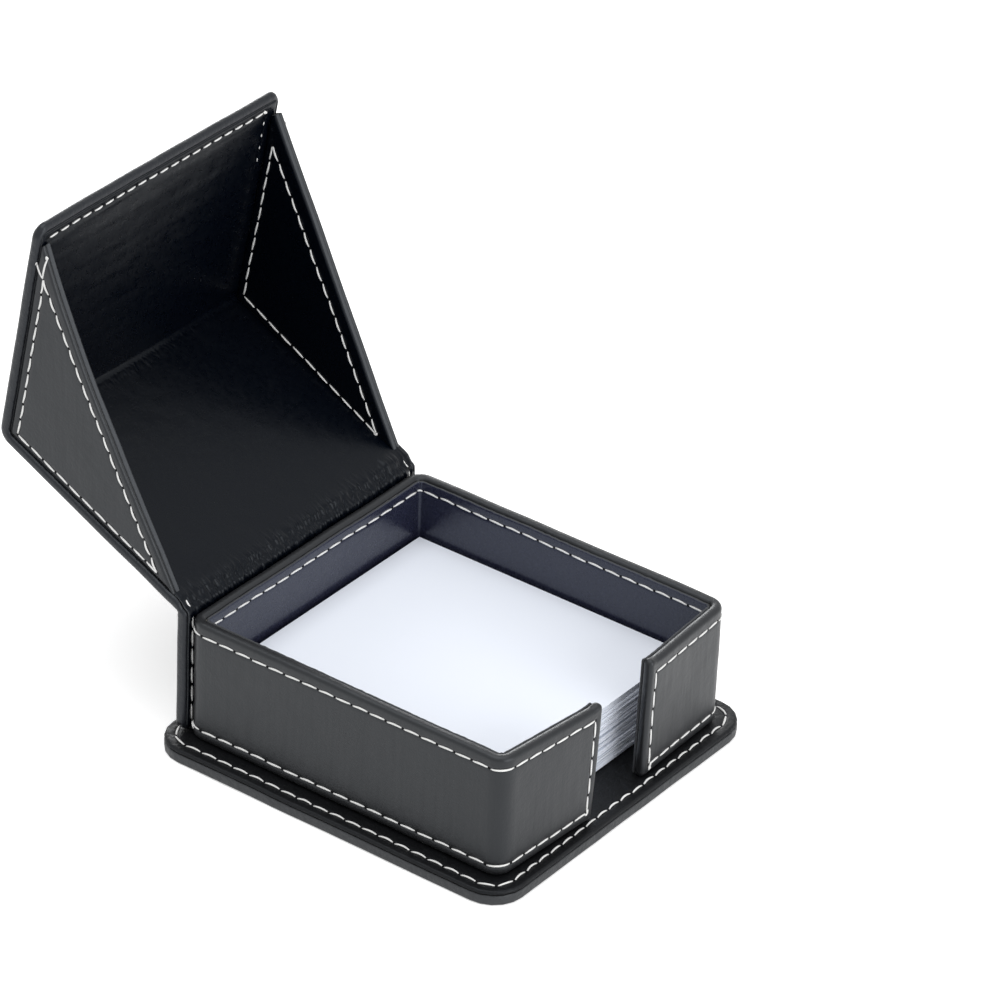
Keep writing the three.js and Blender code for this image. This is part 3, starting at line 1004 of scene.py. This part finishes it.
def creases(u, v, start, reach, height, seed):
    """Height of fine wandering folds that run both ways from a line across the leather."""
    away = abs(v - start)
    if away > 2 * reach:
        return 0
    wander = CREASE_WANDER * drawn_out(u, v, CREASE_LENGTH, CREASE_LENGTH, seed)
    ridged = drawn_out(u + wander, v, CREASE_PITCH, CREASE_LENGTH, seed + 1)
    length = reach * (1 + CREASE_REACH_SHARE * drawn_out(u, 0, CREASE_PITCH, CREASE_LENGTH, seed + 2))
    fade = 1 - smooth_step(length / 3, length, away)
    return height * fade * max(0, 1 - CREASE_SHARPNESS * abs(ridged))


def add_ribbon():
    eave_row = RIBBON_END - EAVE_STITCH
    sides = (VERGE_STITCH, RIBBON_SIZE[0] - VERGE_STITCH)
    marks = [PANEL_STITCH, *OUTER_LINE.marks[:-1], eave_row]
    verge_legs = [
        leg(side, before, side, after)
        for side in sides
        for before, after in zip(marks, marks[1:])
    ]
    legs = verge_legs + [leg(sides[0], eave_row, sides[1], eave_row)]
    corner = ROOF_SHEET_CORNER

    def relief(u, v):
        dent = HINGE_DENT * bell(v - BEND_MIDDLE, HINGE_DENT_REACH)
        dent *= drawn_out(u, v, HINGE_DENT_LENGTH, HINGE_DENT_WIDTH, seed=7)
        return wave(u, v, seed=3) + groove(legs, u, v) + dent

    cover = Panel(
        RIBBON_SIZE, corner,
        fine_near(corner, RIBBON_SIZE[0] - corner, GRID_STEP, sides),
        fine_near(corner, RIBBON_END - corner, GRID_STEP, (eave_row, *OUTER_LINE.marks)),
    ).build(
        "roof_leather", cover_edge() + [(corner, 0, 0)], roof_cover_point, relief,
        ["roof_leather"],
    )
    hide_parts("roof_outer_cover", "back_panel_cover", "hinge_strip")

    size = (RIBBON_SIZE[0] - 2 * LINING_INSET, RIBBON_END - 2 * LINING_INSET)
    left, right = (side - LINING_INSET for side in sides)
    inner_eave = eave_row - LINING_INSET
    eave_end = right - EAVE_ROW_RIGHT
    eave_legs = [leg(left + EAVE_ROW_LEFT, inner_eave, eave_end, inner_eave)]
    flange = right - FLANGE_ROW_INSET
    flange_legs = [leg(flange, inner_eave - FLANGE_ROW_START, flange, inner_eave - FLANGE_ROW_END)]
    inner_legs = []
    row_top = BEND_END + HINGE_ROW_RISE - LINING_INSET
    for side in (left + HINGE_ROW_INSET, right - HINGE_ROW_INSET):
        inner_legs.append(leg(side, PANEL_STITCH - LINING_INSET, side, BEND_MIDDLE - LINING_INSET))
        inner_legs.append(leg(side, BEND_MIDDLE - LINING_INSET, side, row_top))

    def inside(u, v, height):
        return ribbon_point(u + LINING_INSET, v + LINING_INSET, 1, height)

    def lining_relief(u, v):
        along = v + LINING_INSET
        dent = wave(u, v, seed=4) + groove(inner_legs + eave_legs + flange_legs, u, v)
        streaks = STREAK * drawn_out(u, v, STREAK_LENGTH, STREAK_WIDTH, seed=13)
        dent += streaks * smooth_step(RIDGE_END, RIDGE_END + STREAK_FADE, along)
        dent -= creases(u, along, BEND_END, *HINGE_CREASE, seed=9)
        aside = size[0] - LUMP_INSET - u
        dent -= HINGE_LUMP * bell(math.hypot(aside, along - BEND_END - LUMP_RISE), LUMP_WIDTH)
        return dent - creases(u, along, RIDGE_START, *RIDGE_CREASE, seed=11)

    # The lining of the lid takes near-black leather darkened further as painted shade
    inner = Panel(
        size, LINING,
        spaced(LINING, size[0] - LINING, CREASE_STEP),
        fine_near(LINING, size[1] - LINING, GRID_STEP, (
            inner_eave, *[mark - LINING_INSET for mark in OUTER_LINE.marks],
        ), reach=BEND_REACH),
    ).build(
        "roof_inner_lining", cut_section(ROOF_LINING_LAP, LINING + ROOF_LINING_SINK) + [(LINING, 0, 0)],
        lambda u, v, share, depth: inside(u, v, -depth),
        lining_relief, ["shade_darkened_lining", "cut_edge"], edge_rows=CUT_ROWS,
    )
    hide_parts("roof_lining", "back_panel_lining")

    sewing = Sewing(seed=4)
    sewing.row(legs, lambda u, v, height: ribbon_point(u, v, 0, -height))
    sewing.row(inner_legs, inside)
    sewing.row(eave_legs, inside, EAVE_PITCH, THREAD_BOW / 2, EAVE_THREAD_SHARE)
    sewing.row(
        flange_legs, lambda u, v, height: inside(u, v, height - FLANGE_SINK),
        EAVE_PITCH, 0, FLANGE_THREAD_SHARE,
    )
    sewing.knot(inside, eave_end, inner_eave)
    for piece in (cover, inner, *sewing.finish("roof_thread")):
        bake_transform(piece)


# Gables: a leather cover turned round a triangular board, with a lining on its inner face

def gable_corners(hand):
    """Outline of a gable in the closed position: front foot, heel, knee, ridge and front top."""
    top = ROOF_THICKNESS + GABLE_SEAM
    rear_foot, front_foot = GABLE_FEET[hand]
    front = Vector((TRAY_FRONT + GABLE_FRONT_INSET - HINGE.x, front_foot))
    foot_line = (front - Vector((0, rear_foot))).normalized()
    rear_line = left_of(REAR_SLOPE) * top
    front_line = EAVE + left_of(FRONT_SLOPE) * top
    return [
        front,
        front + foot_line * ((-GABLE_HEEL - front.x) / foot_line.x),
        rear_line + REAR_SLOPE * GABLE_KNEE,
        crossing(rear_line, REAR_SLOPE, front_line, FRONT_SLOPE),
        crossing(front, UP, front_line, FRONT_SLOPE),
    ]


def inset_polygon(corners, inset):
    """The polygon shrunk by an inset. A side that vanishes leaves its neighbours' meeting point."""
    count = len(corners)
    lines = []
    for index in range(count):
        direction = (corners[(index + 1) % count] - corners[index]).normalized()
        lines.append((corners[index] + left_of(direction) * inset, direction))
    shrunk = [crossing(*lines[index - 1], *lines[index]) for index in range(count)]
    for index in range(count):
        after = (index + 1) % count
        if (shrunk[after] - shrunk[index]).dot(lines[index][1]) <= 0:
            meeting = crossing(*lines[index - 1], *lines[after])
            shrunk[index] = meeting
            shrunk[after] = meeting
    return shrunk


def gable_ring(corners, inset, radius, steps):
    """Points of the rounded outline at an inset, the same number at each inset."""
    shrunk = inset_polygon(corners, inset)
    count = len(shrunk)
    left = max(radius - inset, 0)
    arcs = []
    for index, corner in enumerate(shrunk):
        back = (corners[index - 1] - corners[index]).normalized()
        ahead = (corners[(index + 1) % count] - corners[index]).normalized()
        half = math.acos(back.dot(ahead)) / 2
        middle = corner + (back + ahead).normalized() * (left / math.sin(half))
        start = left_of(back)
        turn = math.pi - 2 * half
        arcs.append([
            middle + (Matrix.Rotation(turn * step / CORNER_STEPS, 2) @ start) * left
            for step in range(CORNER_STEPS + 1)
        ])
    outline = []
    for index, points in enumerate(arcs):
        outline.extend(points)
        after = arcs[(index + 1) % count][0]
        for step in range(1, steps[index]):
            outline.append(points[-1].lerp(after, step / steps[index]))
    return outline


def add_gable(name, hand):
    corners = gable_corners(hand)
    front, heel = corners[:2]
    steps = [
        max(2, round((after - corner).length / GRID_STEP))
        for corner, after in zip(corners, corners[1:] + corners[:1])
    ]
    thickness = GABLE_THICKNESS + GABLE_PROUD

    def gable_point(y, z, depth):
        """Point at a depth below the outer face. The warp of the foot fades out above it."""
        along = min(max((y - heel.x) / (front.x - heel.x), 0), 1)
        above = z - heel.y - (front.y - heel.y) * along
        warp = GABLE_WARP[hand] * 4 * along * (1 - along) * (WARP_FRONT_SHARE + along)
        warp *= min(max(1 - above / WARP_REACH, 0), 1)
        plane = swing((y, z + warp))
        side = hand * (GABLE_OUTER + GABLE_PROUD - depth) + LID_SHIFT
        return wobble(Vector((side, plane.x, plane.y)))

    def row_legs(face):
        tip, peak, end = (Vector(corner) for corner in GABLE_ROWS[face])
        return [(tip, end), (peak, tip), (end, peak)]

    def skin(piece_name, section, legs, place, looks, edge_rows=0):
        """Rings inwards from the outline. place(y, z, depth) counts the depth from the shown face."""
        points = []
        entries = section + [(inset, 0) for inset in GABLE_RINGS]
        for inset, depth in entries:
            for spot in gable_ring(corners, inset, GABLE_CORNER_RADIUS, steps):
                dent = wave(spot.x, spot.y, seed=6 + hand) + groove(legs, spot.x, spot.y)
                points.append(place(spot.x, spot.y, depth + dent * (depth < GABLE_EDGE_RADIUS)))
        size = len(points) // len(entries)
        faces = ring_faces(0, len(entries), size, edge_rows)
        faces.append(cap(len(points) - size, size))
        return add_object(piece_name, points, faces, looks, "lid")

    cover_depth = thickness - GABLE_EDGE_STRIP
    section = [(GABLE_TURN_IN, cover_depth), (GABLE_GROOVE, cover_depth)]
    section += [(GABLE_GROOVE / 2, cover_depth - GABLE_GROOVE / 2)]
    section += [(inset, depth) for inset, _, depth in rounded(GABLE_EDGE_RADIUS)]
    cover = skin(
        f"{name}_leather", section, row_legs("outer"), gable_point, ["black_leather"],
    )
    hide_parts(f"{name}_cover", f"{name}_board")
    # The inner face takes the same lining, darkened further as painted shade
    inner = skin(
        f"{name}_inner",
        [(inset, share * GABLE_EDGE_STRIP) for inset, share in zip(GABLE_CUT_INSETS, GABLE_CUT_SHARES)],
        row_legs("inner"), lambda y, z, depth: gable_point(y, z, thickness - depth),
        ["shade_darkened_lining", "cut_edge"], CUT_ROWS,
    )
    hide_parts(f"{name}_lining")

    def outside(y, z, height):
        return gable_point(y, z, -height)

    def inside(y, z, height):
        return gable_point(y, z, thickness + height)

    sewing = Sewing(seed=20 + hand)
    sewing.row(row_legs("outer"), outside, GABLE_PITCH)
    sewing.row(row_legs("inner"), inside, GABLE_PITCH, THREAD_BOW / 2)
    tip = Vector(GABLE_ROWS["outer"][0])
    for arm in GABLE_ARMS:
        sewing.stitch(outside, tip, Vector(arm), -THREAD_BOW / 2)
        sewing.knot(outside, *arm, KNOT_REACH / 2)
    sewing.knot(inside, *GABLE_ROWS["inner"][2])
    sewing.finish(f"{name}_thread", "lid")


# Paper: loose square sheets, each a little out of line

def add_sheets():
    chance = random.Random(8)
    points = []
    faces = []
    middle = (PAPER_LOW + PAPER_HIGH) / 2
    half = (PAPER_HIGH.x - PAPER_LOW.x) / 2 - SHEET_MARGIN
    pitch = (PAPER_HIGH.z - PAPER_LOW.z) / SHEET_COUNT
    left_in_bundle = 0
    for number in range(SHEET_COUNT):
        if not left_in_bundle:
            left_in_bundle = chance.randint(*BUNDLE_SHEETS)
            bundle_turn = chance.uniform(-BUNDLE_TURN, BUNDLE_TURN)
            bundle_shift = [chance.uniform(-BUNDLE_SHIFT, BUNDLE_SHIFT) for _ in range(2)]
        left_in_bundle -= 1
        # Air between two bundles takes the place of a sheet
        if not left_in_bundle and number < SHEET_COUNT - 1:
            continue
        foot = PAPER_LOW.z + number * pitch
        turn = math.radians(bundle_turn + chance.uniform(-SHEET_TURN, SHEET_TURN))
        shift = Vector([along + chance.uniform(-SHEET_SHIFT, SHEET_SHIFT) for along in bundle_shift])
        first = len(points)
        for z in (foot, foot + pitch * (1 - SHEET_GAP_SHARE)):
            for x, y in SQUARE:
                arm = Matrix.Rotation(turn, 2) @ Vector((x * half, y * half)) + shift
                points.append(Vector((middle.x + arm.x, middle.y + arm.y, z)))
        size = len(SQUARE)
        faces += ring_faces(first, 2, size)
        faces += [cap(first, size), cap(first + size, size)]
    sheets = add_object("paper_sheets", points, faces, ["paper"], "box", smooth=False)
    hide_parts("note_sheets")


add_base()
add_tray()
add_ribbon()
add_gable("left_gable", -1)
add_gable("right_gable", 1)
add_sheets()


# Camera, where the photograph was taken from

CAMERA_TARGET = Vector((-10.3, -19.7, 88.5))
CAMERA_DISTANCE = 1534.8
CAMERA_AZIMUTH = math.radians(-54.4)
CAMERA_ELEVATION = math.radians(31.73)
CAMERA_ROLL = math.radians(2.59)
CAMERA_LENS = 213.55
SENSOR_WIDTH = 36
CLIP_END = 10000

right = Vector((math.cos(CAMERA_AZIMUTH), math.sin(CAMERA_AZIMUTH), 0))
back = Vector((
    math.sin(CAMERA_AZIMUTH) * math.cos(CAMERA_ELEVATION),
    -math.cos(CAMERA_AZIMUTH) * math.cos(CAMERA_ELEVATION),
    math.sin(CAMERA_ELEVATION),
))
up = back.cross(right)
camera_right = right * math.cos(CAMERA_ROLL) + up * math.sin(CAMERA_ROLL)
camera_up = up * math.cos(CAMERA_ROLL) - right * math.sin(CAMERA_ROLL)
camera_data = bpy.data.cameras.new("camera")
camera_data.lens = CAMERA_LENS
camera_data.sensor_width = SENSOR_WIDTH
camera_data.clip_end = CLIP_END * MM
camera = bpy.data.objects.new("camera", camera_data)
turned = Matrix((camera_right, camera_up, back)).transposed().to_4x4()
camera.matrix_world = Matrix.Translation((CAMERA_TARGET + back * CAMERA_DISTANCE) * MM) @ turned
bpy.context.scene.collection.objects.link(camera)
bpy.context.scene.camera = camera


# Floor, lamps and background. What camera, glossy and transmission rays see is made white

FLOOR_HALF = 2000
FLOOR_LOOK = ((0.93, 0.93, 0.93), 0.9, 0)
FLOOR_GLOW = 0.45
WORLD_LIGHT = 0.56

# Place, width and power in watts of each lamp. All of them face the origin
LAMPS = {
    "key": ((-150, 80, 1180), 1200, 8.5),
    "rim": ((750, 730, 300), 400, 3),
    "fill": ((-100, -1000, 300), 700, 5),
}


def seen_directly(tree):
    """1 for camera, glossy and transmission rays, else 0."""
    path = tree.nodes.new("ShaderNodeLightPath")
    total = path.outputs["Is Camera Ray"]
    for name in ("Is Glossy Ray", "Is Transmission Ray"):
        either = tree.nodes.new("ShaderNodeMath")
        either.operation = "MAXIMUM"
        tree.links.new(total, either.inputs[0])
        tree.links.new(path.outputs[name], either.inputs[1])
        total = either.outputs[0]
    return total


floor_mesh = bpy.data.meshes.new("floor")
floor_mesh.from_pydata([Vector((x, y, 0)) * FLOOR_HALF * MM for x, y in SQUARE], [], [(0, 1, 2, 3)])
floor = bpy.data.objects.new("floor", floor_mesh)
bpy.context.scene.collection.objects.link(floor)
floor_material, floor_shader = new_material("floor", *FLOOR_LOOK)
floor_tree = floor_material.node_tree
floor_shader.inputs["Emission Color"].default_value = (1, 1, 1, 1)
glow = floor_tree.nodes.new("ShaderNodeMath")
glow.operation = "MULTIPLY"
glow.inputs[1].default_value = FLOOR_GLOW
floor_tree.links.new(seen_directly(floor_tree), glow.inputs[0])
floor_tree.links.new(glow.outputs[0], floor_shader.inputs["Emission Strength"])
floor_mesh.materials.append(floor_material)

world = bpy.data.worlds.new("studio")
bpy.context.scene.world = world
world.use_nodes = True
world_tree = world.node_tree
background = world_tree.nodes["Background"]
background.inputs["Color"].default_value = (1, 1, 1, 1)
strength = world_tree.nodes.new("ShaderNodeMapRange")
strength.inputs["To Min"].default_value = WORLD_LIGHT
world_tree.links.new(seen_directly(world_tree), strength.inputs["Value"])
world_tree.links.new(strength.outputs["Result"], background.inputs["Strength"])

for name, (place, size, power) in LAMPS.items():
    softbox = bpy.data.lights.new(name, "AREA")
    softbox.shape = "SQUARE"
    softbox.size = size * MM
    softbox.energy = power
    lamp = bpy.data.objects.new(name, softbox)
    lamp.location = Vector(place) * MM
    lamp.rotation_euler = (-Vector(place)).to_track_quat("-Z", "Y").to_euler()
    bpy.context.scene.collection.objects.link(lamp)

bpy.context.scene.view_settings.view_transform = "Standard"
